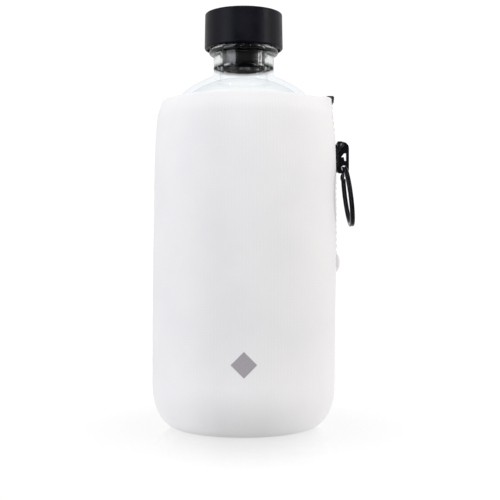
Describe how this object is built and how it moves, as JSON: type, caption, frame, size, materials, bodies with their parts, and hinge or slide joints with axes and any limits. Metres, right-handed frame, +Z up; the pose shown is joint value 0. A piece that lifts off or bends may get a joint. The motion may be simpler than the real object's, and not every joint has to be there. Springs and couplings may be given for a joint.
{
  "type": "water bottle",
  "caption": "Clear glass bottle with a black screw cap and neck plug, in a padded fabric sleeve that closes with a side zip, pull tab and hanging split ring.",
  "frame": {"origin": "centre of the base, on the surface the bottle stands on", "axes": "+Z up the bottle's axis, -Y out of the printed front, +X towards the zip"},
  "size_m": [0.0985, 0.089, 0.201],
  "materials": {
    "clear_glass": "clear, polished, faint cool tint",
    "cap_plastic": "matte black, fine satin texture",
    "core_plastic": "plain moulded black",
    "liner_foam": "soft white sealing washer",
    "plug_plastic": "polished black",
    "seal_rubber": "dull black silicone",
    "sleeve_fabric": "smooth off-white padded knit",
    "base_fabric": "smooth off-white padded knit",
    "tape_fabric": "white woven tape",
    "coil_plastic": "white moulded teeth",
    "stop_metal": "black lacquer",
    "end_plastic": "soft white plastic",
    "slider_metal": "gloss black lacquer",
    "pin_metal": "bare steel pin end",
    "tab_metal": "gloss black lacquer",
    "ring_metal": "gloss black plating with bright worn edges"
  },
  "bodies": {
    "bottle": {"glass_bottle": "clear_glass", "sleeve_wall": "sleeve_fabric", "sleeve_base": "base_fabric", "zip_tape_front": "tape_fabric", "zip_tape_rear": "tape_fabric", "zip_coil_front": "coil_plastic", "zip_coil_rear": "coil_plastic", "zip_top_stops": "stop_metal", "zip_bottom_stop": "end_plastic"},
    "cap_seal": {"cap_liner": "liner_foam"},
    "cap": {"cap_shell": "cap_plastic", "cap_core": "core_plastic", "neck_plug": "plug_plastic", "plug_seals": "seal_rubber"},
    "zip_slider": {"slider_body": "slider_metal", "slider_pin": "pin_metal"},
    "pull_tab": {"pull_tab": "tab_metal"},
    "pull_ring": {"split_ring": "ring_metal"}
  },
  "joints": [
    {"name": "cap_rise", "type": "slide", "parent": "bottle", "child": "cap_seal", "axis": [0, 0, 1], "range_m": [0, 0.0053]},
    {"name": "cap_turn", "type": "hinge", "parent": "cap_seal", "child": "cap", "pos_m": [0, 0, 0.19], "axis": [0, 0, 1], "range_deg": [0, 450]},
    {"name": "slider_travel", "type": "slide", "parent": "bottle", "child": "zip_slider", "axis": [0, 0, 1], "range_m": [-0.0395, 0.019]},
    {"name": "tab_swing", "type": "hinge", "parent": "zip_slider", "child": "pull_tab", "pos_m": [0.0475, 0, 0.1372], "axis": [0, -1, 0], "range_deg": [0, 90]},
    {"name": "ring_swing", "type": "hinge", "parent": "pull_tab", "child": "pull_ring", "pos_m": [0.0492, 0, 0.1257], "axis": [0, -1, 0], "range_deg": [-7.5, 80]}
  ],
  "couplings": [
    {"joint": "cap_rise", "follows": "cap_turn", "m_per_rad": 0.00067322}
  ]
}
